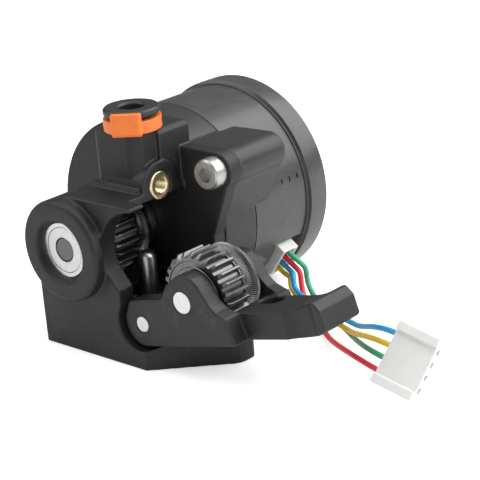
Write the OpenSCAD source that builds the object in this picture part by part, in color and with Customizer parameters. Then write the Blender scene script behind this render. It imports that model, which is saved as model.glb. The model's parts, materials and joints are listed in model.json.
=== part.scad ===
// Direct-drive filament extruder with a round planetary gear motor.
// Frame: origin where the filament path leaves the flat mounting base,
// +Z up along the filament, +Y towards the motor (rear), +X towards the idler lever.
// Parts are drawn with the drive shaft's axis on Y; place() moves them into that frame.

/* [Base and housing] */
// Height of the drive shaft axis above the mounting base
axis_h = 18; // [17.9:0.1:18.5]
// Offset of the filament path from the drive shaft axis
fil_x = 6.5; // [6.45:0.01:6.55]
// Y of the filament path from the shaft origin plane, negative in front
fil_y = -2; // [-2.2:0.1:-1.8]
// Radius of the front bearing boss
boss_r = 8.47; // [8.3:0.01:8.6]
// Width of the raised tower plateau
tower_w = 9.7; // [9.5:0.1:9.8]
// Radius of the insert boss
insert_boss_r = 4.0; // [3.8:0.1:4.1]

/* [Gear motor] */
// Radius of the flange and gearbox housing
gearbox_r = 17.3; // [17.2:0.1:17.5]
// Radius of the motor stack
stack_r = 17.3; // [17.1:0.1:17.5]
// Radius of the rear cap
cap_r = 18.0; // [17.8:0.1:18.2]
// Length of the rear cap
cap_l = 5.1; // [5.0:0.1:5.6]
// Distance of each ear screw from the shaft axis along X
ear_x = 18.7; // [18.6:0.1:18.8]
// Distance of each ear screw from the shaft axis along Z
ear_z = 11.2; // [11.1:0.1:11.3]

/* [Gears] */
// Gear module of all gears
gear_m = 0.5; // [0.498:0.001:0.5]
// Teeth on the drive gear and on the idler gear
drive_teeth = 26; // [26:1:26]
// Teeth on the sun gear
sun_teeth = 12; // [12:1:12]
// Teeth on each planet gear
planet_teeth = 24; // [24:1:24]
// Teeth inside the ring gear
ring_teeth = 60; // [60:1:60]
// Depth of the toothed filament groove
groove_d = 0.7; // [0.5:0.05:0.75]

/* [Lever] */
// Opening angle of the idler lever
lever_open = 63.8; // [63.5:0.1:63.9]
// Radius of the hinge pin
hinge_r = 1.25; // [1.2:0.05:1.3]
// Radius of the idler axle
axle_r = 1.75; // [1.7:0.05:1.75]

/* [Inlet] */
// Radius of the collet flange
collet_r = 4.55; // [4.4:0.05:4.6]
// Radius of the tube bore in the collet
tube_r = 2.05; // [2.0:0.05:2.1]
// Thickness of the lock clip
clip_t = 2.0; // [1.9:0.1:2.1]
// Direction in which the lock clip's tab points, from the front
clip_a = 35; // [0:1:45]

/* [Cable] */
// Radius of each wire
wire_r = 0.48; // [0.4:0.02:0.5]

/* [Hidden] */

$fn = 48;
overlap = 0.01;

// colours shared by several parts
black = [0.07, 0.07, 0.075];
cap_grey = [0.13, 0.13, 0.14];
bearing_steel = [0.75, 0.76, 0.78];
bright_steel = [0.8, 0.8, 0.82];
shim_steel = [0.8, 0.8, 0.8];

// lever hinge and idler axle in the (x, z) plane; the idler is given with the lever open
hinge_x = 14.0;
hinge_z = -10.54;
arm_slope = 13;
idler_x = 23.05;
idler_z = -5.0;
idler_reach = norm([idler_x-hinge_x, idler_z-hinge_z]);
closed_a = atan2(idler_z-hinge_z, idler_x-hinge_x) + lever_open;
closed_x = hinge_x + idler_reach*cos(closed_a);
closed_z = hinge_z + idler_reach*sin(closed_a);

// stations along the shaft (Y)
flange_front = 3.1;
flange_rear = 5.8;
gearbox_rear = 13.5;
front_cap_rear = 16.6;
stator_rear = 26.4;
front_cheek = [-11.5, -8.5];
rear_cheek = [0.75, 2.95];
arm_front = front_cheek[1];
arm_rear = -0.2;
gear_front = -8.2;
gear_rear = 0.1;

shaft_r = 2;
motor_shaft_r = 2.5;
tower_top = 18;
insert_z = 9.2;

// ---- placing and extruding
module place() {
  translate([-fil_x, -fil_y, axis_h]) children();
}
// a profile in (x, z), extruded along Y
module along_y(front, rear) {
  translate([0, rear, 0]) rotate([90, 0, 0]) linear_extrude(rear-front) children();
}
// a cylinder along Y
module rod(radius, front, rear, x=0, z=0) {
  translate([x, rear, z]) rotate([90, 0, 0]) cylinder(r=radius, h=rear-front);
}
// a profile in (radius, y), turned about the shaft axis
module turned() {
  rotate([-90, 0, 0]) rotate_extrude($fn=96) children();
}
// the lever's drawing plane: origin at the hinge, first axis along the open arm
module arm_plane() {
  translate([hinge_x, hinge_z]) rotate(arm_slope) children();
}
module arm_frame() {
  translate([hinge_x, 0, hinge_z]) rotate([0, -arm_slope, 0]) children();
}
module filament_frame(z=0) {
  translate([fil_x, fil_y, z]) children();
}
module ear_holes(radius, front, rear) {
  for (side=[1, -1]) rod(radius, front, rear, side*ear_x, side*ear_z);
}

// ---- involute gears
flank_steps = 4;
root_spread = 0.2;                // degrees added to each side of a tooth at its root
function involute(a) = tan(a)*180/PI - a;
function pitch_radius(teeth, size=gear_m) = size*teeth/2;
// half angle of a tooth at radius r, in degrees
function half_tooth(teeth, size, pressure, r, thin) =
  let(pitch_r=pitch_radius(teeth, size), base_r=pitch_r*cos(pressure),
    a=acos(min(1, base_r/max(r, base_r))))
  90/teeth - thin/pitch_r*90/PI + involute(pressure) - involute(a);
// flank stations from root to tip, as [radius, half angle]
function flank(teeth, size, pressure, tip, root, thin) =
  let(start=max(root, pitch_radius(teeth, size)*cos(pressure)+0.002))
  [for (i=[0:flank_steps]) let(r=start+(tip-start)*i/flank_steps)
    [r, half_tooth(teeth, size, pressure, r, thin)]];
function polar(r, a) = [r*cos(a), r*sin(a)];
// gear outline with a tooth centred on angle turn; size is the gear module,
// thin the tooth thinning
module gear2d(teeth, size, pressure, tip, root, thin, turn=0) {
  sides = flank(teeth, size, pressure, tip, root, thin);
  foot = sides[0][1]+root_spread;
  polygon([for (k=[0:teeth-1]) let(mid=turn+360*k/teeth) each concat(
    [polar(root, mid-foot)],
    [for (i=[0:flank_steps]) polar(sides[i][0], mid-sides[i][1])],
    [for (i=[flank_steps:-1:0]) polar(sides[i][0], mid+sides[i][1])],
    [polar(root, mid+foot)])]);
}

// ---- ball bearings: [outer radius, inner radius, front, rear, number of balls]
front_bearing = [4.5, shaft_r, -13.6, -9.6, 7];
rear_bearing = [4.5, shaft_r, 1.8, 5.8, 7];
motor_front_bearing = [5, motor_shaft_r, 13.7, 16.7, 8];
motor_rear_bearing = [5, motor_shaft_r, 27.0, 30.0, 8];
motor_bore_gap = [0, 0.01, 0, 0, 0];
seat_gap = 0.02;
function race_width(b) = (b[0]-b[1])*0.27;
function ball_radius(b) = (b[0]-b[1])*0.30;
function ball_centre(b) = [(b[0]+b[1])/2, (b[2]+b[3])/2];
module race(b, inner_edge, front) {
  turned() difference() {
    translate([inner_edge, front]) square([race_width(b), b[3]-front]);
    translate(ball_centre(b)) circle(r=ball_radius(b)+0.02, $fn=32);
  }
}
module outer_ring(b) {
  color(bearing_steel) race(b, b[0]-race_width(b), b[2]);
}
// recess: how far the ring's front face is set back
module inner_ring(b, recess=0) {
  color(bearing_steel) race(b, b[1], b[2]+recess);
}
module balls(b) {
  color(bright_steel) for (k=[0:b[4]-1]) {
    spot = polar(ball_centre(b)[0], 360*k/b[4]);
    translate([spot[0], ball_centre(b)[1], spot[1]]) sphere(r=ball_radius(b), $fn=32);
  }
}

// ---- main housing
base_left = -8.2;
base_right = 26.0;
arm_floor = 3.85;                 // floor of the lever pockets below the hinge
boss_front = -14.8;
boss_rim = 0.8;
tower_left = 0.7;
tower_front = -5.7;
tower_foot = 7.1;
chamber_front = -9.3;
wall_rear = -9.2;
cut_front = -13;                  // in front of the shell
cheek_gap = 0.25;
arm_gap = 0.2;
// outline of the shell seen from above, (x, y)
shell_plan = [[-8.6, -12.5], [14.8, -12.5], [25.2, -2.9], [25.7, -2.2], [26.0, -1.0],
  [26.0, 0.6], [25.6, 1.3], [24.8, 1.6], [17, 1.8], [17, 6], [-8.6, 6]];

module flange2d(radius) {
  circle(r=radius, $fn=128);
  for (turn=[0, 180]) rotate(turn) {
    translate([ear_x, ear_z]) circle(r=3.1);
    polygon([[8, 14.2], [ear_x+0.4, 14.28], [ear_x+3.0, ear_z], [17.25, 0.4],
      [10, -2], [0, 0]]);
  }
}
// shell about the drive gear, standing on the base
module housing_shell() {
  intersection() {
    along_y(-12.5, flange_front+overlap) {
      circle(r=boss_r, $fn=96);
      polygon([[base_left, -axis_h], [base_right, -axis_h],
        [base_right, hinge_z-arm_floor/cos(arm_slope)+(base_right-hinge_x)*tan(arm_slope)],
        [hinge_x, hinge_z-arm_floor/cos(arm_slope)], [hinge_x+0.8, -6.6], [14.6, 8.8],
        [0, 8.8], [base_left, 0]]);
    }
    translate([0, 0, -axis_h-1]) linear_extrude(40) polygon(shell_plan);
  }
}
// bearing boss with a rounded front rim
module bearing_boss() {
  turned() polygon(concat([[0, -12], [0, boss_front]],
    [for (i=[0:6]) [boss_r-boss_rim+boss_rim*sin(15*i), boss_front+boss_rim-boss_rim*cos(15*i)]],
    [[boss_r, -12]]));
}
// tower over the filament path, with two rounded front corners
module tower() {
  left_r = 1.4;
  right_r = 2.4;
  translate([0, 0, tower_foot]) linear_extrude(tower_top-tower_foot) intersection() {
    translate([tower_left, tower_front]) square([tower_w, 11.5]);
    union() {
      translate([tower_left+left_r, tower_front+left_r]) circle(r=left_r);
      translate([tower_left+tower_w-right_r, tower_front+right_r]) circle(r=right_r);
      translate([tower_left+left_r, tower_front]) square([tower_w-4.5, 12]);
      translate([tower_left, tower_front+left_r]) square([tower_w, 12]);
    }
  }
  // shoulder on the lever's side
  right = tower_left+tower_w;
  along_y(-1.2, flange_rear) polygon([[tower_left, tower_foot], [tower_left, tower_top],
    [right, tower_top], [right+0.8, 17.4], [right+0.8, tower_foot]]);
  // shoulder on the other side
  along_y(flange_front-1.6, flange_rear)
    polygon([[0.8, tower_top], [-1.6, 17.0], [-1.6, 8], [0.8, 8]]);
  // ledge at the foot
  translate([-0.1, -6.5, 7.5]) cube([tower_w+1.0, 8, 1.9]);
}
// gear chamber with room for the closed idler
module gear_chamber() {
  along_y(chamber_front, flange_front) difference() {
    union() {
      circle(r=7.45, $fn=96);
      translate([closed_x, closed_z]) circle(r=7.5, $fn=96);
      translate([0, -7.44]) square([40, 14.89]);
    }
    translate([4, 7.45]) square([8, 3]);
  }
  translate([11.5, wall_rear, 5.0]) cube([30, flange_front-wall_rear, 10]);
}
// openings in the front wall, on the lever's side
module front_wall_openings() {
  along_y(cut_front, wall_rear) difference() {
    translate([15, 0.6]) circle(r=7.6, $fn=96);
    polygon([[7.83, -2.25], [10.5, -5.4], [10.5, -9], [4, -9], [4, -2.25]]);
  }
  along_y(cut_front, wall_rear) polygon([[9.75, hinge_z], [10.3, -8.0], [10.5, -5.4],
    [10.9, -4.5], [16, -4.5], [30, hinge_z], [hinge_x, hinge_z-0.5]]);
}
module cheek_pocket2d() {
  arm_plane() {
    circle(r=4.4);
    polygon([[0, -arm_floor], [40, -arm_floor], [40, 12], [0, 12]]);
  }
}
// pockets for the two cheeks, and room for gear and arm between them
module lever_pockets() {
  knuckle_r = 3.3;
  along_y(cut_front, front_cheek[1]+cheek_gap) cheek_pocket2d();
  along_y(rear_cheek[0]-cheek_gap, flange_front) {
    cheek_pocket2d();
    polygon([[9.75, hinge_z], [10.2, -8.6], [10.3, -4.5], [16, -4.5], [30, hinge_z],
      [hinge_x, hinge_z-0.5]]);
  }
  along_y(chamber_front, front_cheek[1]+cheek_gap) translate([10.25, -8.5]) square([2, 1.3]);
  along_y(front_cheek[1]+arm_gap, rear_cheek[0]-arm_gap) difference() {
    translate([hinge_x-0.2, hinge_z-0.2]) rotate(arm_slope)
      translate([0, -3.66]) square([40, 12]);
    translate([hinge_x, hinge_z]) circle(r=knuckle_r);
    translate([hinge_x-8, hinge_z-8]) square([8, 8]);
  }
  along_y(front_cheek[1]+arm_gap, rear_cheek[0]-arm_gap) difference() {
    translate([9.2, hinge_z]) square([12, 4]);
    translate([hinge_x, hinge_z]) circle(r=knuckle_r);
  }
}
module shaft_bores() {
  // front bearing seat, shaft opening and flared mouth
  rod(front_bearing[0]+seat_gap, front_bearing[2], front_bearing[3]);
  rod(3.9, -9.8, -9.0);
  turned() polygon([[0, -15], [5.6, -15], [5.2, -14.6], [4.8, -13.6], [0, -13.6]]);
  // rear bearing seat and shaft opening
  rod(rear_bearing[0]+seat_gap, rear_bearing[2], flange_rear+1);
  rod(3.4, 0, 2);
}
module filament_bores() {
  filament_frame() {
    cylinder(r=1.05, h=30);
    // collet bore and, below it, the narrower step under the seal
    translate([0, 0, 13.4]) cylinder(r=3.32, h=6);
    translate([0, 0, 10.8]) cylinder(r=2.6, h=4);
  }
  // outlet in the base and guide tube bore
  filament_frame(-axis_h-1) {
    cylinder(r=2.5, h=5);
    cylinder(r=1.61, h=12);
  }
  // two holes under the base
  for (side=[-1, 1]) translate([fil_x+side*8, fil_y, -axis_h-1]) cylinder(r=1.25, h=5);
}
module main_housing() place() color(black) difference() {
  union() {
    housing_shell();
    bearing_boss();
    along_y(flange_front, flange_rear) flange2d(gearbox_r-0.15);
    // rear part of the base
    translate([base_left, 0, -axis_h]) cube([25.2, flange_rear, 4.2]);
    // rear bearing seat
    rod(5.7, 1.2, flange_front+overlap);
    tower();
    // insert boss along X
    translate([3.0, fil_y, insert_z]) rotate([0, 90, 0]) cylinder(r=insert_boss_r, h=8.4);
  }
  gear_chamber();
  front_wall_openings();
  lever_pockets();
  // well round the guide tube
  translate([0.6, -8.3, -10.5]) cube([9.2, 10.9, 8]);
  shaft_bores();
  rod(hinge_r+0.01, -13.2, 3.05, hinge_x, hinge_z);
  ear_holes(1.65, flange_front-5, flange_rear+1);
  // insert bore
  translate([8.0, fil_y, insert_z]) rotate([0, 90, 0]) cylinder(r=2.31, h=4);
  filament_bores();
}

// ---- gearbox
orbit_r = pitch_radius(sun_teeth+planet_teeth);
ring_pitch_r = pitch_radius(ring_teeth);
planetary_pressure = 25;
carrier = [6.1, 7.3];             // front and rear of the carrier plate
planet_pin_r = 1.25;
motor_nose_r = 1.25;              // thin front end of the motor shaft

// ear of the gearbox housing, a rounded rib along the motor's side
module gearbox_ear2d() {
  translate([ear_x, ear_z]) circle(r=2.95);
  polygon([[9, 13.9], [ear_x-0.2, 14.13], [ear_x+2.9, ear_z], [17.1, 2], [12, 6]]);
}
module gearbox_housing() place() color([0.12, 0.12, 0.13]) difference() {
  union() {
    rod(gearbox_r, flange_rear, gearbox_rear);
    for (turn=[0, 180]) rotate([0, turn, 0]) difference() {
      along_y(flange_rear, 16.9) gearbox_ear2d();
      rod(stack_r+0.06, gearbox_rear, 20);
    }
  }
  // internal teeth, cut by an outline whose teeth point outwards
  along_y(flange_rear-1, gearbox_rear+1) gear2d(ring_teeth, gear_m, planetary_pressure,
    tip=ring_pitch_r+0.42, root=ring_pitch_r-0.45, thin=-0.10, turn=180/ring_teeth);
  // room for the carrier plate
  rod(15.7, flange_rear-1, 7.7);
  ear_holes(1.51, flange_rear-1, 16.3);
}
module planetary2d(teeth, turn=0) {
  gear2d(teeth, gear_m, planetary_pressure, tip=pitch_radius(teeth)+0.38,
    root=pitch_radius(teeth)-0.58, thin=0.07, turn=turn);
}
module planet_carrier() place() color([0.55, 0.55, 0.57]) difference() {
  along_y(carrier[0], carrier[1]) difference() {
    circle(r=12.2, $fn=96);
    for (k=[0:2]) rotate(60+120*k) translate([8.2, 0]) circle(r=2.6);
  }
  rod(3.21, 5, 8);
  for (k=[0:2]) rotate([0, -120*k, 0]) rod(planet_pin_r+0.01, 5, 8, orbit_r);
}
module planet_pins() place() color(bright_steel)
  for (k=[0:2]) rotate([0, -120*k, 0]) rod(planet_pin_r, carrier[0], 12.2, orbit_r);
module planet_gear(k) place() color([0.75, 0.68, 0.45]) rotate([0, -120*k, 0]) difference() {
  along_y(7.7, 11.9) translate([orbit_r, 0]) planetary2d(planet_teeth, 180/planet_teeth);
  rod(planet_pin_r+0.05, 7, 13, orbit_r);
}
module sun_gear() place() color([0.7, 0.7, 0.72]) difference() {
  along_y(7.7, 12.1) planetary2d(sun_teeth);
  rod(motor_nose_r+0.01, 7, 13);
}

// ---- output side
module front_bearing_outer_ring() place() outer_ring(front_bearing);
module front_bearing_inner_ring() place() inner_ring(front_bearing, recess=0.35);
module front_bearing_balls() place() balls(front_bearing);
module front_bearing_shields() place() color([0.6, 0.6, 0.62]) {
  turned() translate([2.08, -13.55]) square([1.66, 0.2]);
  turned() translate([2.74, -9.95]) square([1.05, 0.2]);
}
module rear_bearing_outer_ring() place() outer_ring(rear_bearing);
module rear_bearing_inner_ring() place() inner_ring(rear_bearing);
module rear_bearing_balls() place() balls(rear_bearing);

// chamfered front end, wide collar in the carrier at the rear
module output_shaft() place() color([0.35, 0.35, 0.36])
  turned() polygon([[0, -13.5], [shaft_r-0.2, -13.5], [shaft_r, -13.3], [shaft_r, 6.0],
    [3.2, 6.0], [3.2, 7.3], [1.2, 7.3], [1.2, 7.0], [0, 7.0]]);
// a filament gear: coarse front teeth, then a plain band with a finely toothed groove
module filament_gear(bore, turn=0) {
  pitch_r = pitch_radius(drive_teeth);
  band_r = pitch_r-0.3;
  fine_teeth = 72;
  difference() {
    union() {
      along_y(gear_front, -3.6) gear2d(drive_teeth, gear_m, pressure=20,
        tip=pitch_r+0.41, root=pitch_r-0.62, thin=0.12, turn=turn);
      turned() polygon([[0, -3.9], [pitch_r-0.7, -3.9], [pitch_r-0.7, -3.58],
        [band_r, -3.58], [band_r, gear_rear-0.35], [band_r-0.3, gear_rear], [0, gear_rear]]);
    }
    rod(bore, gear_front-1, gear_rear+1);
    // filament groove
    turned() translate([pitch_r+0.55, fil_y]) circle(r=groove_d+0.85, $fn=48);
    // fine teeth across the groove
    for (k=[0:fine_teeth-1]) rotate([0, -360*k/fine_teeth, 0])
      translate([band_r, -3.1, 0]) rotate([-90, 0, 0])
        linear_extrude(4.0) polygon([[0.3, -0.17], [0.3, 0.17], [-0.2, 0]]);
    // chamfer at the front
    turned() polygon([[pitch_r-0.1, gear_front-0.1], [pitch_r+1, gear_front-0.1],
      [pitch_r+1, gear_front+0.6], [pitch_r+0.46, gear_front+0.5]]);
  }
}
module drive_gear() place() color([0.30, 0.30, 0.31]) filament_gear(shaft_r+0.01);
// each shim as [front, ring width]
module shaft_shims() place() color(shim_steel) for (shim=[[0.25, 3.0], [0.75, 1.2]])
  turned() translate([shaft_r+0.05, shim[0]]) square([shim[1], 0.35]);

// ---- motor
pole_count = 8;
socket_a = 36;                    // turn of the wire socket below +X
socket_y = 22.2;
motor_seat_r = motor_front_bearing[0]+seat_gap;

module motor_front_cap() place() color(cap_grey) difference() {
  rod(stack_r, gearbox_rear, front_cap_rear);
  rod(motor_seat_r, 13.6, 16.9);
  rod(3.9, 13, 14);
  turned() polygon([[5.4, 16.0], [16.0, 16.0], [16.0, 17.5], [5.4, 17.5]]);
}
// ring with inward poles, each ending in a curved shoe
module stator2d() difference() {
  circle(r=stack_r, $fn=128);
  difference() {
    circle(r=14.6, $fn=96);
    for (k=[0:pole_count-1]) rotate(360/pole_count*k) {
      translate([10.5, -1.6]) square([5, 3.2]);
      intersection() {
        difference() {
          circle(r=11.3, $fn=96);
          circle(r=10.3, $fn=96);
        }
        polygon([[0, 0], [16, -5.4], [16, 5.4]]);
      }
    }
  }
}
module stator_stack() place() color([0.2, 0.2, 0.21]) difference() {
  along_y(front_cap_rear, stator_rear) stator2d();
  // notch for the wire socket
  rotate([0, socket_a, 0]) translate([14.8, 19.4, -3.6]) cube([6, 6.6, 7.2]);
  // three small slots in the outer face above it
  for (y=[20.9, 22.9, 24.9])
    rotate([0, -13, 0]) translate([16.6, y-0.16, -0.45]) cube([2, 0.32, 0.9]);
}
module winding_coils() place() color([0.72, 0.42, 0.2])
  along_y(front_cap_rear+0.6, stator_rear-0.6)
    for (k=[0:pole_count-1]) rotate(360/pole_count*k) for (flip=[0, 1]) mirror([0, flip])
      polygon([[11.5, 1.7], [14.2, 1.7], [14.2, 3.3], [11.9, 3.0], [11.5, 2.8]]);
module motor_shaft() place() color(bright_steel)
  turned() polygon([[0, 7.8], [motor_nose_r, 7.8], [motor_nose_r, 13.2],
    [motor_shaft_r, 13.2], [motor_shaft_r, 30.2], [0, 30.2]]);
module rotor_magnet() place() color([0.3, 0.3, 0.33]) difference() {
  along_y(17.6, 25.4) gear2d(teeth=25, size=0.78, pressure=20, tip=10.1, root=9.2, thin=0.2);
  rod(motor_shaft_r+0.01, 17, 26);
}
module motor_front_bearing_outer_ring() place() outer_ring(motor_front_bearing);
module motor_front_bearing_inner_ring() place()
  inner_ring(motor_front_bearing+motor_bore_gap);
module motor_front_bearing_balls() place() balls(motor_front_bearing);
module motor_rear_bearing_outer_ring() place() outer_ring(motor_rear_bearing);
module motor_rear_bearing_inner_ring() place()
  inner_ring(motor_rear_bearing+motor_bore_gap);
module motor_rear_bearing_balls() place() balls(motor_rear_bearing);
module motor_rear_cap() place() color(cap_grey) difference() {
  rim = 0.6;
  cap_rear = stator_rear+cap_l;
  turned() polygon(concat(
    [[0, stator_rear], [cap_r-0.5, stator_rear], [cap_r-0.5, stator_rear+0.35],
      [cap_r, stator_rear+0.6]],
    [for (i=[0:5]) [cap_r-rim+rim*cos(18*i), cap_rear-rim+rim*sin(18*i)]],
    [[0, cap_rear]]));
  rod(motor_seat_r, 27.0, 30.1);
  rod(3.5, 30, 30.5);
  // hollow round the bearing seat, and opening in front of it
  turned() polygon([[6.2, stator_rear-1], [15.6, stator_rear-1], [15.6, stator_rear+3.2],
    [6.2, stator_rear+3.2]]);
  turned() polygon([[0, stator_rear-1], [5.3, stator_rear-1], [5.3, 27.1], [0, 27.1]]);
}
// socket on the lower, lever side of the motor, open outwards
module wire_socket() place() color([0.92, 0.92, 0.90])
  rotate([0, socket_a, 0]) translate([0, socket_y, 0]) difference() {
    translate([15.0, -1.9, -3.0]) cube([3.6, 3.8, 6.0]);
    translate([16.4, -1.4, -2.7]) cube([6, 2.8, 5.4]);
  }

// ---- cable
plug_centre = [56.3, 0.5, -11.5];
plug_turn = [54.85, 14.12, 2.93];
plug_length = 7.0;
plug_width = 9.9;
plug_pitch = 2.05;
plug_slots = [-1.5:1:1.5];
wire_steps = 14;                  // steps in each span of a wire
wire_sides = 10;
function turn_x(v, a) = [v[0], v[1]*cos(a)-v[2]*sin(a), v[1]*sin(a)+v[2]*cos(a)];
function turn_y(v, a) = [v[0]*cos(a)+v[2]*sin(a), v[1], -v[0]*sin(a)+v[2]*cos(a)];
function turn_z(v, a) = [v[0]*cos(a)-v[1]*sin(a), v[0]*sin(a)+v[1]*cos(a), v[2]];
function plug_point(v) = plug_centre
  + turn_z(turn_y(turn_x(v, plug_turn[0]), plug_turn[1]), plug_turn[2]);
function socket_point(v) = turn_y(v, socket_a) + [0, socket_y, 0];
function unit(v) = v/norm(v);
function bezier(p, t) =
  let(s=1-t) p[0]*s*s*s + p[1]*3*s*s*t + p[2]*3*s*t*t + p[3]*t*t*t;
// points along cubic spans joined end to end
function spans_path(spans) = concat(
  [for (span=spans) for (i=[0:wire_steps-1]) bezier(span, i/wire_steps)],
  [bezier(spans[len(spans)-1], 1)]);
// a round tube of wire_sides sides along the points
module sweep(pts) {
  last = len(pts)-1;
  m = wire_sides;
  rings = [for (i=[0:last]) let(
      dir=unit(pts[min(last, i+1)]-pts[max(0, i-1)]),
      side=unit(cross(dir, [0.21, 0.95, 0.22])),
      other=cross(dir, side))
    for (k=[0:m-1]) pts[i]+wire_r*(cos(360*k/m)*side+sin(360*k/m)*other)];
  polyhedron(points=rings,
    faces=concat([[for (k=[0:m-1]) k]], [[for (k=[m-1:-1:0]) last*m+k]],
      [for (i=[0:last-1]) for (k=[0:m-1]) [i*m+k, (i+1)*m+k, (i+1)*m+(k+1)%m]],
      [for (i=[0:last-1]) for (k=[0:m-1]) [i*m+k, (i+1)*m+(k+1)%m, i*m+(k+1)%m]]),
    convexity=6);
}
// socket_z: place in the socket, hang: where the wire hangs down behind the lever,
// low: where it lies under the lever's tip, drop: how far it hangs,
// sag: sag of the run, slot: place in the plug
module wire(socket_z, hang, low, drop, sag, slot) {
  start = socket_point([17.6, 0, socket_z]);
  end = plug_point([-plug_length/2+0.4, slot*plug_pitch, 0]);
  entry = plug_point([-plug_length/2-4.5, 0.93*slot*plug_pitch, 0]);
  down = [0.05, -0.05, -1];
  run = unit([entry[0]-hang[0], entry[1]-hang[1], 0.6]);
  sweep(spans_path([
    [start, start+4.8*[cos(socket_a), 0, -sin(socket_a)], hang-2.6*down, hang],
    [hang, hang+drop*down+[0.6, -0.3, 0], low-8.5*run-[0, 0, sag], low],
    [low, low+4*run+[0, 0, 0.7*sag], entry, end]]));
}
module wire_yellow() place() color([0.95, 0.75, 0.10])
  wire(-2.1, [17.5, 20.6, -14.4], [37.8, 10.6, -14.6], drop=2.8, sag=1.1, slot=0.5);
module wire_blue() place() color([0.10, 0.55, 0.85])
  wire(-0.7, [19.0, 19.6, -13.4], [39.4, 10.2, -13.0], drop=3.0, sag=1.2, slot=1.5);
module wire_red() place() color([0.85, 0.10, 0.12])
  wire(0.7, [18.9, 21.7, -14.0], [34.2, 9.9, -16.5], drop=3.9, sag=0.9, slot=-1.5);
module wire_green() place() color([0.15, 0.6, 0.35])
  wire(2.1, [18.9, 23.3, -13.6], [36.8, 12.2, -16.2], drop=4.2, sag=1.0, slot=-0.5);
module plug_frame() {
  translate(plug_centre) rotate(plug_turn) children();
}
module plug_housing() place() color([0.95, 0.95, 0.93]) plug_frame() difference() {
  union() {
    translate([-plug_length/2, -plug_width/2, -2.6]) cube([plug_length, plug_width, 3.8]);
    // two ridges along the top edges
    for (side=[-1, 1]) translate([-plug_length/2, side*(plug_width/2-0.7)-0.7, 0])
      cube([plug_length, 1.4, 1.8]);
  }
  // terminal cavities with small openings at the far end
  for (slot=plug_slots) {
    translate([-plug_length/2-1, slot*plug_pitch-0.78, -0.85]) cube([5.4, 1.56, 1.6]);
    translate([-plug_length/2, slot*plug_pitch-0.4, -0.4]) cube([plug_length+1, 0.8, 0.8]);
  }
}
module plug_terminals() place() color([0.85, 0.82, 0.7]) plug_frame()
  for (slot=plug_slots)
    translate([-0.9, slot*plug_pitch-0.33, -0.33]) cube([3.6, 0.66, 0.66]);

// ---- lever, outlines drawn in the arm plane
lever_under = -3.74;              // underside of cheeks and arm
pin_ends = [-11.45, 2.9];
// cheek from its underside, round the idler axle and back to the hinge
cheek_outline = [[0, lever_under], [18.4, lever_under], [18.4, 0.6], [16.6, 1.65],
  [15.6, 2.9], [14.72, 5.06], [14.3, 5.9], [13.3, 7.0], [12.4, 7.5], [11.3, 7.7],
  [10.0, 7.55], [8.8, 6.95], [7.5, 6.2], [6.7, 5.4], [6.1, 4.5], [5.6, 4.0], [0, 4.0]];
// thumb arm: straight underside, rounded tip, concave top
arm_outline = concat([[16.9, lever_under], [29.0, lever_under]],
  [for (i=[1:8]) [29+5.3*i/8, lever_under+0.9*pow(i/8, 2)]],
  [[34.9, -2.4], [34.6, 0.6], [33.6, 1.85], [33.2, 2.0], [32.7, 1.85]],
  [for (i=[1:8]) let(t=i/8) [32.4-5.6*t, 1.75-1.25*(1-pow(1-t, 2))]],
  [[16.9, 0.6]]);

module cheek(span) {
  along_y(span[0], span[1]) arm_plane() {
    circle(r=-lever_under, $fn=64);
    translate([-2.6, 0]) square([3, 2.5]);
    translate([-1.1, 1.5]) square([3, 2.5]);
    translate([-1.1, 2.5]) circle(r=1.5);
    polygon(cheek_outline);
  }
}
module idler_lever() place() color(black) difference() {
  union() {
    cheek(front_cheek);
    cheek(rear_cheek);
    along_y(arm_front, arm_rear) arm_plane() difference() {
      polygon(arm_outline);
      // room for the idler gear
      translate([10.06, 3.36]) circle(r=7.4, $fn=96);
    }
    // shoulders that join the cheeks to the arm
    along_y(front_cheek[0], arm_front+overlap) arm_plane()
      polygon([[17.2, lever_under], [19.2, lever_under], [18.4, 0.6], [17.2, 0.6]]);
    along_y(arm_rear-overlap, rear_cheek[1]) arm_plane()
      polygon([[17.4, lever_under], [20.0, lever_under], [19.0, 0.5], [17.4, 0.6]]);
  }
  rod(hinge_r+0.03, -20, 20, hinge_x, hinge_z);
  rod(axle_r+0.01, -20, 20, idler_x, idler_z);
  // slot for the pressure screw
  arm_frame() for (shift=[-0.6, 0.6]) translate([20.0+shift, -2.6, -6]) cylinder(r=1.6, h=12);
  // hollow in the front side of the thumb arm
  arm_frame() translate([30.2, arm_front-5.6, -6]) cylinder(r=6.4, h=14, $fn=64);
}
module hinge_pin() place() color(bright_steel)
  rod(hinge_r, pin_ends[0], pin_ends[1], hinge_x, hinge_z);
module idler_axle() place() color([0.85, 0.85, 0.87])
  rod(axle_r, pin_ends[0], pin_ends[1], idler_x, idler_z);
module idler_frame() {
  translate([idler_x, 0, idler_z]) children();
}
// angle of a tooth space that meets the drive gear once the lever is closed
space_a = 180 + 2*atan2(closed_z, closed_x) - lever_open;
bush_r = 2.59;
module idler_gear() place() color([0.36, 0.36, 0.37]) idler_frame()
  filament_gear(bush_r+0.01, space_a+180/drive_teeth);
module idler_bush() place() color([0.75, 0.66, 0.4]) idler_frame() difference() {
  rod(bush_r, gear_front, gear_rear);
  rod(axle_r+0.03, gear_front-1, gear_rear+1);
}
module idler_washers() place() color(shim_steel)
  for (y=[[front_cheek[1]+0.02, gear_front-0.04], [gear_rear+0.06, rear_cheek[0]-0.04]])
    idler_frame() difference() {
      rod(3.2, y[0], y[1]);
      rod(axle_r+0.02, y[0]-1, y[1]+1);
    }

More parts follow.
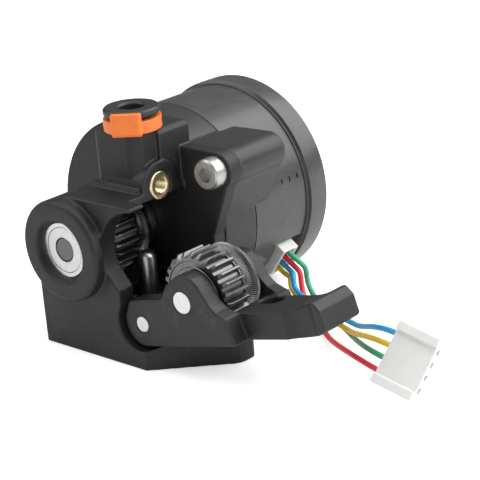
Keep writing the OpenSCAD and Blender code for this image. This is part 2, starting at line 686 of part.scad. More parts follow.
// ---- inlet
module tube_collet() place() color([0.08, 0.08, 0.085]) filament_frame()
  rotate_extrude($fn=96) polygon([[tube_r, 14.6], [3.25, 14.6], [3.25, 20.5],
    [collet_r-0.25, 20.5], [collet_r, 20.7], [collet_r, 21.4], [collet_r-0.3, 21.7],
    [tube_r+0.3, 21.7], [tube_r, 21.4]]);
module lock_clip() place() color([0.95, 0.35, 0.08])
  filament_frame() rotate([0, 0, clip_a]) difference() {
    translate([0, 0, tower_top+0.05]) {
      cylinder(r=4.65, h=clip_t, $fn=96);
      translate([-2.3, -5.5, 0]) cube([4.6, 3.5, clip_t]);
      // pull tab outside the collet flange, reaching higher than the ring
      translate([0, 0, 0.35]) {
        translate([-1.9, -5.9, 0]) cube([3.8, 1.25, 3.3]);
        translate([-2.4, -5.4, 0]) cube([4.8, 0.75, 3.3]);
        for (x=[-1.9, 1.9]) translate([x, -5.4, 0]) cylinder(r=0.5, h=3.3, $fn=32);
      }
    }
    translate([0, 0, 17]) cylinder(r=3.29, h=5, $fn=64);
    translate([-3.28, 0, 17]) cube([6.56, 8, 5]);
  }
module tube_seal() place() color([0.1, 0.1, 0.1]) filament_frame(13.41) difference() {
  cylinder(r=3.2, h=0.7);
  translate([0, 0, -1]) cylinder(r=2.6, h=3);
}
module threaded_insert() place() color([0.85, 0.65, 0.3])
  translate([8.15, fil_y, insert_z]) rotate([0, 90, 0]) difference() {
    union() {
      cylinder(r=2.3, h=1.2);
      cylinder(r=2.1, h=3.2);
      translate([0, 0, 2.0]) cylinder(r=2.3, h=1.2);
    }
    translate([0, 0, -1]) cylinder(r=1.25, h=6);
    translate([0, 0, 2.8]) cylinder(r1=1.25, r2=1.65, h=0.41);
  }
module guide_tube() place() color([0.35, 0.34, 0.33]) filament_frame() rotate_extrude()
  polygon([[1.0, -14.0], [1.6, -14.0], [1.6, -3.5], [1.3, -2.9], [1.0, -2.7]]);
module housing_screws() place() color([0.78, 0.78, 0.8])
  for (side=[1, -1]) translate([side*ear_x, 0, side*ear_z]) difference() {
    union() {
      turned() polygon([[0, flange_front-0.02], [2.5, flange_front-0.02],
        [2.5, flange_front-2.2], [2.2, flange_front-2.5], [0, flange_front-2.5]]);
      rod(1.5, flange_front-1, 16.0);
    }
    // hexagon socket
    translate([0, flange_front-1.2, 0]) rotate([90, 0, 0]) cylinder(r=1.3, h=4, $fn=6);
  }

main_housing();
gearbox_housing();
front_bearing_outer_ring();
front_bearing_inner_ring();
front_bearing_balls();
front_bearing_shields();
rear_bearing_outer_ring();
rear_bearing_inner_ring();
rear_bearing_balls();
output_shaft();
drive_gear();
shaft_shims();
planet_carrier();
planet_pins();
planet_gear(0);  // planet_gear_1
planet_gear(1);  // planet_gear_2
planet_gear(2);  // planet_gear_3
sun_gear();
motor_front_cap();
stator_stack();
winding_coils();
motor_shaft();
rotor_magnet();
motor_front_bearing_outer_ring();
motor_front_bearing_inner_ring();
motor_front_bearing_balls();
motor_rear_bearing_outer_ring();
motor_rear_bearing_inner_ring();
motor_rear_bearing_balls();
motor_rear_cap();
wire_socket();
wire_yellow();
wire_blue();
wire_red();
wire_green();
plug_housing();
plug_terminals();
idler_lever();
hinge_pin();
idler_axle();
idler_gear();
idler_bush();
idler_washers();
tube_collet();
lock_clip();
tube_seal();
threaded_insert();
guide_tube();
housing_screws();
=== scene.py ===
"""A filament feeder, drawn over its CAD pieces.

A motor and planetary gearbox turn the drive gear; the idler gear runs beside it on a hinged
lever. The gear axes and the hinge lie along Y, and Z is up. Blender works in metres; sizes
here are in millimetres unless a comment says otherwise.
"""

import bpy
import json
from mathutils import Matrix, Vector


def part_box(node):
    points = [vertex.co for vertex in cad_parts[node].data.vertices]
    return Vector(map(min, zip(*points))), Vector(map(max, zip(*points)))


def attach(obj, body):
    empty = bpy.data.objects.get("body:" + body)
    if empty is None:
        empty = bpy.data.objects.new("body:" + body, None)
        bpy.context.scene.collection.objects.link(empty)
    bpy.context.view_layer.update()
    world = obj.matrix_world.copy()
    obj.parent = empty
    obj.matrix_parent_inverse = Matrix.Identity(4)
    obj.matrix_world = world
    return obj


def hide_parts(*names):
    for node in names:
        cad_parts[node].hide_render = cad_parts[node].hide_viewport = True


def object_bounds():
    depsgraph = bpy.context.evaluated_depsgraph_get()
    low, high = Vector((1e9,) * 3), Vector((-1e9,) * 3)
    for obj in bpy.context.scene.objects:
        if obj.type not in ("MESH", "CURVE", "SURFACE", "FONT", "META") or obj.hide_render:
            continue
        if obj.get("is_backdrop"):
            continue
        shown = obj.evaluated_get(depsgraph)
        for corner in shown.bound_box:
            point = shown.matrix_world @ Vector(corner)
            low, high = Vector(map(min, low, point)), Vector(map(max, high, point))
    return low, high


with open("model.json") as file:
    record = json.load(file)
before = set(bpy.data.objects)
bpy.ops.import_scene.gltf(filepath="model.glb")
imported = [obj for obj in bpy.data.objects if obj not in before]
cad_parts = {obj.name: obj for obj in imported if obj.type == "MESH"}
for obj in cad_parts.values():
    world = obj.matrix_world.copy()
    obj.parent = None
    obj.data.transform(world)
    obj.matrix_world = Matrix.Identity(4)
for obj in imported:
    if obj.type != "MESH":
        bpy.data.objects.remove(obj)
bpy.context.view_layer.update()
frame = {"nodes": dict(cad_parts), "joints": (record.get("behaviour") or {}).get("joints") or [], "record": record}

import json
import math

import bmesh
import bpy
import numpy as np
from mathutils import Matrix, Vector

TAU = 2 * math.pi
MM = 0.001
COLLECTION = bpy.context.scene.collection
NODES = frame["nodes"]
JOINT = {joint["name"]: joint for joint in frame["joints"]}
BODY_OF = {node: body for body, nodes in frame["record"]["behaviour"]["bodies"].items()
           for node in nodes}

# A point on each axis, in metres
SHAFT = Vector(JOINT["output_spin"]["pos_m"])
IDLER = Vector(JOINT["idler_spin"]["pos_m"])
HINGE = Vector(JOINT["lever_swing"]["pos_m"])


def from_shaft(x, y, z):
    """A point given in mm from the drive shaft's origin."""
    return SHAFT + Vector((x, y, z)) * MM


# ---------------------------------------------------------------- mesh helpers

def shade_smooth(obj):
    obj.data.polygons.foreach_set("use_smooth", [True] * len(obj.data.polygons))


def make_object(name, verts, faces, scale=1.0):
    mesh = bpy.data.meshes.new(name)
    mesh.from_pydata(verts, [], faces)
    mesh.transform(Matrix.Scale(scale, 4))
    mesh.validate()
    obj = bpy.data.objects.new(name, mesh)
    shade_smooth(obj)
    mesh.update()
    COLLECTION.objects.link(obj)
    return obj


def clean_copy(node, scale=1.0):
    """A CAD node's surface with its seams welded and nothing but points and faces."""
    bm = bmesh.new()
    bm.from_mesh(NODES[node].data)
    bmesh.ops.remove_doubles(bm, verts=bm.verts, dist=2e-7)
    bmesh.ops.dissolve_degenerate(bm, edges=bm.edges, dist=1e-7)
    bm.transform(Matrix.Scale(scale, 4))
    bm.verts.index_update()
    verts = [tuple(vert.co) for vert in bm.verts]
    faces = [[vert.index for vert in face.verts] for face in bm.faces]
    bm.free()
    return make_object(node + "_skin", verts, faces)


def apply_modifiers(obj):
    graph = bpy.context.evaluated_depsgraph_get()
    mesh = bpy.data.meshes.new_from_object(obj.evaluated_get(graph), depsgraph=graph)
    obj.modifiers.clear()
    obj.data = mesh


def get_points(obj):
    flat = np.zeros(len(obj.data.vertices) * 3)
    obj.data.vertices.foreach_get("co", flat)
    return flat.reshape(-1, 3)


def set_points(obj, points):
    obj.data.vertices.foreach_set("co", points.ravel())
    obj.data.update()


def stand_in(obj, node):
    """Let the object move with the node's body and take the node's place."""
    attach(obj, BODY_OF[node])
    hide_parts(node)
    return obj


def dress(obj, material):
    obj.data.materials.clear()
    obj.data.materials.append(material)


def moulded(node, voxel, passes, keep):
    """A copy whose edges take a small radius: remeshed, smoothed, then thinned to a share."""
    obj = clean_copy(node, scale=1000.0)
    remesh = obj.modifiers.new("remesh", "REMESH")
    remesh.mode = "VOXEL"
    remesh.voxel_size = voxel
    remesh.adaptivity = 0.0
    remesh.use_smooth_shade = True
    smooth = obj.modifiers.new("smooth", "SMOOTH")
    smooth.factor = 0.5
    smooth.iterations = passes
    obj.modifiers.new("decimate", "DECIMATE").ratio = keep
    apply_modifiers(obj)
    # back to metres, held within the CAD piece's box
    slack = 1e-6
    lo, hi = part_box(node)
    points = np.clip(get_points(obj) / 1000.0, np.array(lo) - slack, np.array(hi) + slack)
    shade_smooth(obj)
    set_points(obj, points)
    return stand_in(obj, node)


def crisp(node, sharp_angle):
    """A machined copy: round faces smooth, edges above the angle (degrees) kept."""
    obj = clean_copy(node)
    obj.data.set_sharp_from_angle(angle=math.radians(sharp_angle))
    return stand_in(obj, node)


def revolved(node, stations, angles, axis, centre, sharp_angle):
    """A closed skin of rings about an axis along X (0) or Y (1), in mm.

    A station is (place along the axis from centre, radius or one radius per angle).
    """
    count = len(angles)
    across = 1 - axis
    rings = []
    for along, radius in stations:
        ring = np.empty((count, 3))
        ring[:, axis] = centre[axis] + along
        ring[:, across] = centre[across] + np.cos(angles) * radius
        ring[:, 2] = centre[2] + np.sin(angles) * radius
        rings.append(ring)
    this = np.arange(count)
    following = (this + 1) % count
    faces = []
    for i in range(len(rings)):
        near = i * count
        far = (i + 1) % len(rings) * count
        if axis == 1:
            corners = [near + this, far + this, far + following, near + following]
        else:
            corners = [near + this, near + following, far + following, far + this]
        faces += np.stack(corners, 1).tolist()
    obj = make_object(node + "_skin", np.concatenate(rings).tolist(), faces, MM)
    obj.data.set_sharp_from_angle(angle=math.radians(sharp_angle))
    return stand_in(obj, node)


# ---------------------------------------------------------------- shader helpers

class Shader:
    """A material with one Principled surface, and short ways to add nodes to it."""

    def __init__(self, name):
        self.material = bpy.data.materials.new(name)
        self.material.use_nodes = True
        self.tree = self.material.node_tree
        self.tree.nodes.clear()
        output = self.add("OutputMaterial")
        self.surface = self.add("BsdfPrincipled")
        self.feed(output.inputs[0], self.surface.outputs[0])

    def feed(self, socket, value):
        """Link another node's output to the socket, or set a plain value on it."""
        if isinstance(value, bpy.types.NodeSocket):
            self.tree.links.new(value, socket)
        else:
            socket.default_value = value

    def set(self, name, value):
        self.feed(self.surface.inputs[name], value)

    def add(self, kind, **inputs):
        node = self.tree.nodes.new("ShaderNode" + kind)
        for name, value in inputs.items():
            self.feed(node.inputs[name], value)
        return node

    def operate(self, kind, operation, *values):
        node = self.add(kind)
        node.operation = operation
        for socket, value in zip(node.inputs, values):
            self.feed(socket, value)
        return node

    def plus(self, first, second):
        return self.operate("Math", "ADD", first, second).outputs[0]

    def minus(self, first, second):
        return self.operate("Math", "SUBTRACT", first, second).outputs[0]

    def times(self, first, second):
        return self.operate("Math", "MULTIPLY", first, second).outputs[0]

    def swing(self, source, amount):
        """A 0 to 1 source turned into a swing about zero."""
        return self.times(self.minus(source, 0.5), amount)

    def ramp(self, source, *stops):
        """Two stops, each (position, grey or colour)."""
        node = self.add("ValToRGB")
        for element, (position, value) in zip(node.color_ramp.elements, stops):
            element.position = position
            element.color = (*value, 1) if isinstance(value, tuple) else (value,) * 3 + (1,)
        self.feed(node.inputs[0], source)
        return node.outputs[0]

    def tint(self, amount, base, colour):
        node = self.add("Mix")
        node.data_type = "RGBA"
        # sockets 0, 6 and 7 are the factor and the two colours
        for index, value in ((0, amount), (6, base), (7, (*colour, 1))):
            self.feed(node.inputs[index], value)
        return node.outputs[2]

    def position(self, stretch=(1, 1, 1)):
        """Object coordinates in mm."""
        place = self.add("TexCoord").outputs["Object"]
        scale = tuple(1000 * s for s in stretch)
        return self.add("Mapping", Vector=place, Scale=scale).outputs[0]

    def turned_position(self, centre):
        """Coordinates in mm (radius, y, 0) about an axis parallel to Y."""
        place = self.add("TexCoord").outputs["Object"]
        offset = self.operate("VectorMath", "SUBTRACT", place, (centre[0], 0, centre[2]))
        flat = self.operate("VectorMath", "MULTIPLY", offset.outputs[0], (1000, 0, 1000))
        radius = self.operate("VectorMath", "LENGTH", flat.outputs[0]).outputs["Value"]
        y = self.times(self.add("SeparateXYZ", Vector=place).outputs[1], 1000.0)
        return self.add("CombineXYZ", X=radius, Y=y).outputs[0]

    def noise(self, where, scale, detail, rough=0.55, warp=0.0):
        node = self.add("TexNoise", Vector=where, Scale=scale, Detail=detail,
                        Roughness=rough, Distortion=warp)
        return node.outputs["Fac"]

    def bump(self, source, height, strength, below=None):
        """Relief of a height in mm, laid over the normal below."""
        node = self.add("Bump", Distance=height * MM, Strength=strength, Height=source)
        if below is not None:
            self.feed(node.inputs["Normal"], below)
        return node.outputs[0]

    def soft_edge(self, radius):
        """A normal that rounds edges by a radius in mm; None leaves them alone."""
        if not radius:
            return None
        node = self.add("Bevel", Radius=radius * MM)
        node.samples = 4
        return node.outputs[0]


def tone(colour, factor, lift=0.0):
    return tuple(min(1, channel * factor + lift) for channel in colour)


# ---------------------------------------------------------------- kinds of material

def plastic(name, colour, rough, grain, vary, wear, edge=None, scatter=0.0, coat=0.0):
    """Grained plastic, paler on worn edges, with faint scratches. grain is a height in mm."""
    look = Shader(name)
    where = look.position()
    broad = look.noise(where, scale=0.16, detail=3.0, rough=0.6)
    mid = look.noise(where, scale=1.1, detail=4.0, rough=0.6)
    fine = look.noise(where, scale=9.0, detail=3.0, rough=0.65)
    mottle = look.plus(look.times(broad, 0.6), look.times(mid, 0.4))
    base = look.ramp(mottle, (0.35, tone(colour, 1 - vary)), (0.65, tone(colour, 1 + vary)))

    edges = look.ramp(look.add("NewGeometry").outputs["Pointiness"], (0.515, 0.0), (0.56, 1.0))
    worn = look.times(look.times(edges, look.ramp(mid, (0.42, 0.0), (0.62, 1.0))), wear)
    look.set("Base Color", look.tint(worn, base, tone(colour, 1.6, lift=0.02)))

    streaks = look.noise(look.position(stretch=(0.35, 1.0, 2.6)),
                         scale=3.2, detail=5.0, rough=0.75, warp=0.6)
    scratches = look.ramp(streaks, (0.62, 0.0), (0.70, 1.0))
    # mid noise averages 0.5, so the sum stays close to rough
    roughness = look.plus(look.times(mid, 0.20), rough - 0.10)
    roughness = look.plus(roughness, look.swing(fine, 0.14))
    look.set("Roughness", look.minus(roughness, look.times(scratches, 0.05)))

    relief = look.bump(fine, height=grain, strength=0.8, below=look.soft_edge(edge))
    relief = look.bump(mid, height=grain * 2.2, strength=0.35, below=relief)
    relief = look.bump(scratches, height=grain * 0.5, strength=0.25, below=relief)
    look.set("Normal", relief)
    if scatter:
        look.set("Subsurface Weight", scatter)
        look.set("Subsurface Radius", (0.0012, 0.0011, 0.0010))
    if coat:
        look.set("Coat Weight", coat)
        look.set("Coat Roughness", 0.25)
    return look.material


def metal(name, colour, rough, marks, stain, centre=None, edge=0.06):
    """Metal with tool marks (height in mm), turned about centre or drawn out along Y."""
    look = Shader(name)
    where = look.position()
    if centre is not None:
        tool_path = look.turned_position(centre)
    else:
        tool_path = look.position(stretch=(1, 0.12, 1))
    cuts = look.noise(tool_path, scale=14.0, detail=3.0, rough=0.7)
    mid = look.noise(where, scale=1.6, detail=4.0, rough=0.6)
    fine = look.noise(where, scale=11.0, detail=3.0, rough=0.6)
    vary = 0.12
    mottle = look.plus(look.times(mid, 0.5), look.times(cuts, 0.5))
    base = look.ramp(mottle, (0.3, tone(colour, 1 - vary)), (0.7, tone(colour, 1 + vary)))
    blotches = look.noise(where, scale=0.9, detail=6.0, rough=0.7, warp=0.4)
    spots = look.ramp(blotches, (0.55, 0.0), (0.72, 1.0))
    look.set("Base Color", look.tint(look.times(spots, stain), base, tone(colour, 0.55)))
    look.set("Metallic", 1.0)

    roughness = look.plus(look.times(cuts, 0.16), rough - 0.08)
    roughness = look.plus(roughness, look.times(spots, 0.10))
    look.set("Roughness", look.plus(roughness, look.swing(fine, 0.08)))
    relief = look.bump(cuts, height=marks, strength=0.7, below=look.soft_edge(edge))
    look.set("Normal", look.bump(fine, height=marks * 0.7, strength=0.4, below=relief))
    return look.material


def motor_paint():
    """Dark, slightly dusty paint with fine rings about the shaft."""
    look = Shader("motor_paint")
    where = look.position()
    mid = look.noise(where, scale=0.5, detail=4.0, rough=0.6)
    peel = look.noise(where, scale=3.4, detail=2.0, rough=0.5)
    fine = look.noise(where, scale=13.0, detail=2.0, rough=0.6)
    rings = look.noise(look.turned_position(SHAFT), scale=5.0, detail=2.0, rough=0.6)
    base = look.ramp(mid, (0.3, (0.046, 0.046, 0.046)), (0.7, (0.064, 0.064, 0.063)))
    specks = look.noise(where, scale=6.0, detail=5.0, rough=0.7)
    dust = look.times(look.ramp(specks, (0.60, 0.0), (0.75, 1.0)), 0.25)
    look.set("Base Color", look.tint(dust, base, (0.06, 0.06, 0.058)))
    roughness = look.plus(look.times(mid, 0.10), 0.30)
    look.set("Roughness", look.plus(roughness, look.swing(rings, 0.12)))
    relief = look.bump(peel, height=0.012, strength=0.35, below=look.soft_edge(0.14))
    relief = look.bump(fine, height=0.003, strength=0.4, below=relief)
    look.set("Normal", look.bump(rings, height=0.004, strength=0.4, below=relief))
    look.set("Coat Weight", 0.25)
    look.set("Coat Roughness", 0.18)
    return look.material


# ---------------------------------------------------------------- materials

BLACK = plastic("black_nylon", (0.0125, 0.0125, 0.0132),
                rough=0.50, grain=0.011, vary=0.22, wear=0.55)
LEVER = plastic("black_nylon_lever", (0.0145, 0.0145, 0.0152),
                rough=0.46, grain=0.010, vary=0.2, wear=0.6)
DARK = plastic("dark_nylon", (0.028, 0.028, 0.0285),
               rough=0.40, grain=0.008, vary=0.2, wear=0.4)
COLLET = plastic("collet_black", (0.022, 0.022, 0.024),
                 rough=0.38, grain=0.008, vary=0.2, wear=0.5)
ORANGE = plastic("orange_plastic", (0.93, 0.21, 0.028),
                 rough=0.36, grain=0.006, vary=0.06, wear=0.15, scatter=0.12)
WHITE = plastic("white_plastic", (0.80, 0.80, 0.78),
                rough=0.38, grain=0.005, vary=0.03, wear=0.0, scatter=0.15)
RUBBER = plastic("seal_rubber", (0.02, 0.02, 0.02),
                 rough=0.65, grain=0.012, vary=0.2, wear=0.1, edge=0.04)
PAINT = motor_paint()
GEAR = metal("gear_steel", (0.13, 0.128, 0.126),
             rough=0.32, marks=0.004, stain=0.35, centre=SHAFT, edge=None)
# The idler gear is the same steel as the drive gear. Its lighter base tone is painted light, a lit copy of the
# drive gear's steel.
IDLER_GEAR_PAINTED_LIGHT = metal("gear_steel_idler_painted_light", (0.20, 0.197, 0.194),
                   rough=0.33, marks=0.004, stain=0.3, centre=IDLER, edge=None)
RING = metal("bearing_steel", (0.66, 0.66, 0.67),
             rough=0.24, marks=0.002, stain=0.08, centre=SHAFT)
SHIELD = metal("shield_steel", (0.66, 0.66, 0.67),
               rough=0.30, marks=0.003, stain=0.06, centre=SHAFT)
DARK_STEEL = metal("shaft_steel", (0.16, 0.16, 0.165),
                   rough=0.34, marks=0.004, stain=0.35, centre=SHAFT)
BRIGHT = metal("stainless", (0.72, 0.72, 0.73), rough=0.20, marks=0.003, stain=0.10)
SCREW = metal("screw_steel", (0.55, 0.54, 0.52), rough=0.36, marks=0.006, stain=0.45)
PIN = metal("stainless_pin", (0.78, 0.78, 0.79),
            rough=0.24, marks=0.003, stain=0.06, centre=HINGE)
AXLE = metal("stainless_axle", (0.78, 0.78, 0.79),
             rough=0.24, marks=0.003, stain=0.06, centre=IDLER)
TUBE = metal("guide_tube_steel", (0.46, 0.45, 0.44), rough=0.30, marks=0.002, stain=0.2)
BRASS = metal("brass", (0.86, 0.70, 0.42), rough=0.30, marks=0.003, stain=0.15)
BRONZE = metal("bronze", (0.62, 0.44, 0.22), rough=0.32, marks=0.004, stain=0.25)
COPPER = metal("copper", (0.72, 0.36, 0.17), rough=0.28, marks=0.004, stain=0.15)
MAGNET = metal("magnet", (0.30, 0.30, 0.31),
               rough=0.38, marks=0.004, stain=0.3, centre=SHAFT)
TIN = metal("tin_plate", (0.75, 0.73, 0.68), rough=0.26, marks=0.003, stain=0.12)
BALL = metal("ball_steel", (0.80, 0.80, 0.81),
             rough=0.08, marks=0.0008, stain=0.03, edge=None)

WIRE_COLOURS = {
    "wire_yellow": (0.95, 0.64, 0.035), "wire_blue": (0.030, 0.38, 0.80),
    "wire_red": (0.82, 0.035, 0.055), "wire_green": (0.050, 0.42, 0.21),
}
WIRES = {name: plastic(name, colour, rough=0.38, grain=0.004, vary=0.07, wear=0.0,
                       scatter=0.08, coat=0.1)
         for name, colour in WIRE_COLOURS.items()}


# ---------------------------------------------------------------- moulded pieces

def set_back_ring_teeth(obj):
    """Move the rounded ring teeth outward, so that the planets clear them at every angle."""
    set_back = 0.16 * MM
    tooth_root = 16.0 * MM
    fade = 0.4 * MM
    points = get_points(obj)
    radius = np.hypot(points[:, 0] - SHAFT.x, points[:, 2] - SHAFT.z)
    share = np.clip((tooth_root - radius) / fade, 0, 1)
    factor = 1 + set_back * share / np.maximum(radius, MM)
    points[:, 0] = SHAFT.x + (points[:, 0] - SHAFT.x) * factor
    points[:, 2] = SHAFT.z + (points[:, 2] - SHAFT.z) * factor
    set_points(obj, points)


# node, voxel size, smoothing passes, share of faces kept, material, slot
MOULDED = [
    ("main_housing", 0.17, 5, 0.55, BLACK, "black_nylon"),
    ("gearbox_housing", 0.20, 4, 0.6, DARK, "dark_nylon"),
    ("idler_lever", 0.14, 8, 0.6, LEVER, "black_nylon"),
    ("tube_collet", 0.10, 4, 0.7, COLLET, "black_nylon"),
    ("lock_clip", 0.10, 4, 0.7, ORANGE, "orange_plastic"),
    ("plug_housing", 0.10, 2, 0.7, WHITE, "white_plastic"),
    ("wire_socket", 0.12, 2, 0.7, WHITE, "white_plastic"),
]
VOXEL_FACTOR = 1.0
for node, voxel, passes, keep, material, slot in MOULDED:
    piece = moulded(node, voxel * VOXEL_FACTOR, passes, keep)
    if node == "gearbox_housing":
        set_back_ring_teeth(piece)
    dress(piece, material)


# ---------------------------------------------------------------- filament gears

TEETH = 26
KNURL_RIDGES = 110
GEAR_STEPS = 55 * TEETH
TOOTH_ROOT, TOOTH_TIP = 5.9, 6.92
TOOTH_FOOT, TOOTH_TOP = 0.315, 0.10     # half widths, as shares of the tooth pitch
TEETH_END = -3.59                       # y where the coarse teeth give way to the band
BAND = 6.2
KNURL_START = -3.42
KNURL_DEPTH = 0.17
# the groove is an arc about a point outside the band
GROOVE_Y, GROOVE_CENTRE, GROOVE_ARC = -2.0, 7.05, 1.55
GROOVE_HALF, GROOVE_STEPS = 1.32, 18
RIM_BEVEL = 0.35                        # length of the taper at the high-Y end


def cad_tooth_angle(node, centre):
    """The angle, in radians, on which a tooth of this CAD gear is centred."""
    points = np.array([tuple(vert.co) for vert in NODES[node].data.vertices])
    x, z = points[:, 0] - centre[0], points[:, 2] - centre[2]
    radius = np.hypot(x, z)
    tips = radius > radius.max() - 2e-5
    angles = np.arctan2(z[tips], x[tips])
    return np.angle(np.exp(1j * angles * TEETH).mean()) / TEETH


def filament_gear(node, centre, bore):
    """Coarse teeth, plain band, knurled groove and thin rim; y is from the shaft's origin."""
    lo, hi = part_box(node)
    y0, y1 = (lo[1] - SHAFT.y) / MM, (hi[1] - SHAFT.y) / MM
    angles = np.arange(GEAR_STEPS) * TAU / GEAR_STEPS
    turns = (angles - cad_tooth_angle(node, centre)) / TAU

    off_middle = np.abs((turns * TEETH + 0.5) % 1.0 - 0.5)
    rise = np.clip((TOOTH_FOOT - off_middle) / (TOOTH_FOOT - TOOTH_TOP), 0, 1)
    # flanks are part S-curve, part straight
    rise = rise * rise * (3 - 2 * rise) * 0.35 + rise * 0.65
    toothed = TOOTH_ROOT + (TOOTH_TIP - TOOTH_ROOT) * rise
    # 0 on a knurl ridge, 1 in a gap
    gap = np.abs((turns * KNURL_RIDGES) % 1.0 - 0.5) * 2
    gap = np.clip((gap - 0.25) / 0.6, 0, 1)

    def band(y):
        radius = BAND
        reach = GROOVE_ARC ** 2 - (y - GROOVE_Y) ** 2
        if reach > 0:
            radius = min(radius, GROOVE_CENTRE - math.sqrt(reach))
        if y > y1 - RIM_BEVEL:
            radius = min(radius, BAND - (y - (y1 - RIM_BEVEL)) / RIM_BEVEL * 0.3)
        return radius

    def outer(y):
        if y <= TEETH_END:
            lead_in = 6.42 + (y - y0) * 0.85 if y < y0 + 0.6 else 6.93
            return np.minimum(toothed, lead_in)
        depth = KNURL_DEPTH * min(1, max(0, (y - KNURL_START) / 0.12))
        return band(y) - depth * (0.75 if y > y1 - 0.3 else 1.0) * gap

    outer_y = [y0, y0 + 0.04, y0 + 0.25, y0 + 0.5, y0 + 0.62, y0 + 1.2,
               -5.4, -4.4, -3.92, -3.88, -3.66, -3.60, -3.57, KNURL_START]
    outer_y += [GROOVE_Y - GROOVE_HALF + 2 * GROOVE_HALF * k / GROOVE_STEPS
                for k in range(GROOVE_STEPS + 1)]
    outer_y += [-0.56, y1 - 0.40, y1 - RIM_BEVEL, y1 - 0.22, y1 - 0.1, y1]
    # (y, radius): the low-Y face outward, the outside, then the high-Y face inward
    stations = [(y0 + 0.25, bore), (y0, bore + 0.25), (y0, 4.6),
                (y0 + 0.12, 4.7), (y0 + 0.12, 5.55), (y0, 5.65)]
    stations += [(y, outer(y)) for y in outer_y]
    stations += [(y1, 5.2), (y1 - 0.2, 5.0), (y1 - 0.2, bore + 0.9),
                 (y1, bore + 0.8), (y1, bore + 0.2), (y1 - 0.2, bore)]
    middle = (centre[0] / MM, SHAFT.y / MM, centre[2] / MM)
    return revolved(node, stations, angles, axis=1, centre=middle, sharp_angle=38)


dress(filament_gear("drive_gear", SHAFT, bore=2.01), GEAR)
dress(filament_gear("idler_gear", IDLER, bore=2.6), IDLER_GEAR_PAINTED_LIGHT)


# ---------------------------------------------------------------- threaded insert

def threaded_insert():
    """A bush along X with a groove round it and a thread inside."""
    node = "threaded_insert"
    pitch, root, depth = 0.45, 1.04, 0.24
    lo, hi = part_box(node)
    x0, x1 = lo[0] / MM, hi[0] / MM
    radius = (hi[2] - lo[2]) / 2 / MM
    length = x1 - x0
    angles = np.arange(96) * TAU / 96
    # distance from the low-X end, radius
    outside = [
        (0, 1.3), (0, radius - 0.15), (0.1, radius),
        (1.2, radius), (1.25, radius - 0.2), (1.95, radius - 0.2), (2.0, radius),
        (length - 0.12, radius), (length - 0.03, radius - 0.08), (length, radius - 0.2),
        (length, 1.36), (length - 0.04, 1.30),
    ]
    stations = [(x0 + x, r) for x, r in outside]
    # 14 rings to each half millimetre of thread
    steps = int(length / 0.5 * 14)
    for k in range(steps + 1):
        x = x1 - 0.05 - (length - 0.1) * k / steps
        wave = np.abs(((x / pitch - angles / TAU) % 1.0) - 0.5) * 2
        mouth = 1.29 - (x1 - x) * 0.9
        stations.append((x, np.maximum(root + depth * wave, mouth)))
    middle = (0, (lo[1] + hi[1]) / 2 / MM, (lo[2] + hi[2]) / 2 / MM)
    return revolved(node, stations, angles, axis=0, centre=middle, sharp_angle=40)


dress(threaded_insert(), BRASS)


# ---------------------------------------------------------------- wires

def wire(node):
    obj = clean_copy(node, scale=1000.0)
    subdivide = obj.modifiers.new("sub", "SUBSURF")
    subdivide.levels = subdivide.render_levels = 2
    apply_modifiers(obj)
    obj.data.transform(Matrix.Scale(MM, 4))
    shade_smooth(obj)
    return stand_in(obj, node)


for node, material in WIRES.items():
    dress(wire(node), material)


# ---------------------------------------------------------------- machined pieces

# the guide tube falls back on the shaft's slot where the record lists slots without its own
listed = frame["record"].get("materials", [])
known_slots = {entry["slot"] for entry in listed} if isinstance(listed, list) else set()
tube_slot = "guide_tube_steel"
if known_slots and tube_slot not in known_slots:
    tube_slot = "shaft_steel"

# material, slot, nodes
MACHINED = [
    (PAINT, "motor_paint", "motor_front_cap"),
    (PAINT, "laminations", "stator_stack"),
    (PAINT, "motor_paint", "motor_rear_cap"),
    (RING, "bearing_steel", "front_bearing_outer_ring front_bearing_inner_ring"),
    (SHIELD, "shield_steel", "front_bearing_shields"),
    (RING, "bearing_steel", "rear_bearing_outer_ring rear_bearing_inner_ring"),
    (RING, "bearing_steel", "motor_front_bearing_outer_ring motor_front_bearing_inner_ring"),
    (RING, "bearing_steel", "motor_rear_bearing_outer_ring motor_rear_bearing_inner_ring"),
    (BALL, "bearing_steel", "front_bearing_balls rear_bearing_balls"),
    (BALL, "bearing_steel", "motor_front_bearing_balls motor_rear_bearing_balls"),
    (DARK_STEEL, "shaft_steel", "output_shaft"),
    (BRIGHT, "stainless", "shaft_shims"),
    (DARK_STEEL, "shaft_steel", "planet_carrier"),
    (BRIGHT, "stainless", "planet_pins sun_gear motor_shaft"),
    (BRONZE, "bronze", "planet_gear_1 planet_gear_2 planet_gear_3"),
    (COPPER, "copper", "winding_coils"),
    (MAGNET, "magnet", "rotor_magnet"),
    (TIN, "tin_plate", "plug_terminals"),
    (PIN, "stainless", "hinge_pin"),
    (AXLE, "stainless", "idler_axle"),
    (BRONZE, "bronze", "idler_bush"),
    (BRIGHT, "stainless", "idler_washers"),
    (RUBBER, "seal_rubber", "tube_seal"),
    (TUBE, tube_slot, "guide_tube"),
    (SCREW, "stainless", "housing_screws"),
]
for material, slot, nodes in MACHINED:
    for node in nodes.split():
        toothed = node.startswith("planet_gear") or node == "sun_gear"
        dress(crisp(node, sharp_angle=24 if toothed else 32), material)


# ---------------------------------------------------------------- floor

lo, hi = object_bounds()
MIDDLE = (lo + hi) / 2


def floor_paper():
    look = Shader("floor_paper")
    where = look.position()
    look.set("Base Color", look.ramp(look.noise(where, scale=0.02, detail=3.0),
                                     (0.3, (0.90,) * 3), (0.7, (0.93,) * 3)))
    look.set("Roughness", 0.85)
    look.set("Specular IOR Level", 0.15)
    grain = look.noise(where, scale=2.0, detail=3.0)
    look.set("Normal", look.bump(grain, height=0.02, strength=0.15))
    # the added glow shows only to the camera, and throws no light on the part
    glow = look.times(look.add("LightPath").outputs["Is Camera Ray"], 0.50)
    look.set("Emission Color", (1, 1, 1, 1))
    look.set("Emission Strength", glow)
    return look.material


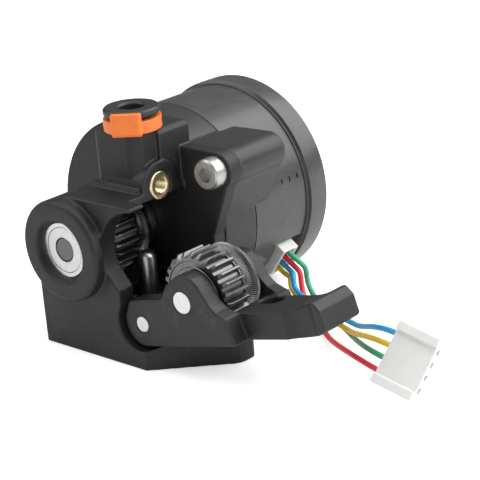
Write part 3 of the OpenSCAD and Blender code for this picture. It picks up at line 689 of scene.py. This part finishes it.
def floor():
    """A flat grid of pale paper just under the part, in metres."""
    cells, half, height = 60, 1.4, -0.00002
    verts = [(MIDDLE.x - half + 2 * half * i / cells, MIDDLE.y - half + 2 * half * j / cells,
              height) for i in range(cells + 1) for j in range(cells + 1)]
    row = cells + 1
    corners = [i * row + j for i in range(cells) for j in range(cells)]
    faces = [(a, a + row, a + row + 1, a + 1) for a in corners]
    obj = make_object("floor", verts, faces)
    obj.data.materials.append(floor_paper())
    obj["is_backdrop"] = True


floor()


# ---------------------------------------------------------------- world, camera and lights

def studio_world():
    """White surroundings, brighter toward the top."""
    world = bpy.data.worlds.new("studio")
    bpy.context.scene.world = world
    world.use_nodes = True
    nodes, links = world.node_tree.nodes, world.node_tree.links
    background = nodes["Background"]
    place = nodes.new("ShaderNodeTexCoord")
    split = nodes.new("ShaderNodeSeparateXYZ")
    links.new(place.outputs["Generated"], split.inputs[0])
    strength = nodes.new("ShaderNodeMapRange")
    for name, value in (("From Min", -0.1), ("From Max", 0.9),
                        ("To Min", 0.10), ("To Max", 0.30)):
        strength.inputs[name].default_value = value
    links.new(split.outputs["Z"], strength.inputs["Value"])
    links.new(strength.outputs[0], background.inputs["Strength"])
    background.inputs["Color"].default_value = (1, 1, 1, 1)


def camera():
    """The camera stands toward +X and -Y, a little above."""
    back = Vector((0.6369, -0.6915, 0.3410)).normalized()
    right = Vector((0.7516, 0.6552, -0.0753))
    right = (right - back * right.dot(back)).normalized()
    up = back.cross(right)
    place = from_shaft(179.64, -167.28, 84.46)
    data = bpy.data.cameras.new("camera")
    obj = bpy.data.objects.new("camera", data)
    COLLECTION.objects.link(obj)
    rows = [(right[k], up[k], back[k], place[k]) for k in range(3)]
    obj.matrix_world = Matrix((*rows, (0, 0, 0, 1)))
    data.sensor_width = 36
    data.lens = 117.53
    data.clip_start = 0.01
    data.clip_end = 20
    bpy.context.scene.camera = obj


def area_light(name, place, width, height, watts):
    data = bpy.data.lights.new(name, "AREA")
    data.shape = "RECTANGLE"
    data.size = width
    data.size_y = height
    data.energy = watts
    obj = bpy.data.objects.new(name, data)
    COLLECTION.objects.link(obj)
    obj.location = place
    obj.rotation_mode = "QUATERNION"
    obj.rotation_quaternion = (MIDDLE - place).to_track_quat("-Z", "Y")
    obj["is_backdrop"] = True


# name, place in mm from the shaft, width and height in metres, watts
LIGHTS = [
    ("top", (10, 40, 330), 0.42, 0.42, 0.75),
    ("key_left", (-210, -190, 210), 0.26, 0.26, 0.42),
    ("strip_right", (300, 60, 170), 0.20, 0.34, 0.62),
    ("back_right", (170, 330, 270), 0.40, 0.40, 1.3),
    ("low_front", (160, -250, 40), 0.20, 0.20, 0.10),
]
studio_world()
camera()
for name, place, width, height, watts in LIGHTS:
    area_light(name, from_shaft(*place), width, height, watts)

view = bpy.context.scene.view_settings
view.view_transform = "Standard"
view.look = "None"
view.exposure = 0.0

lo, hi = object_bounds()
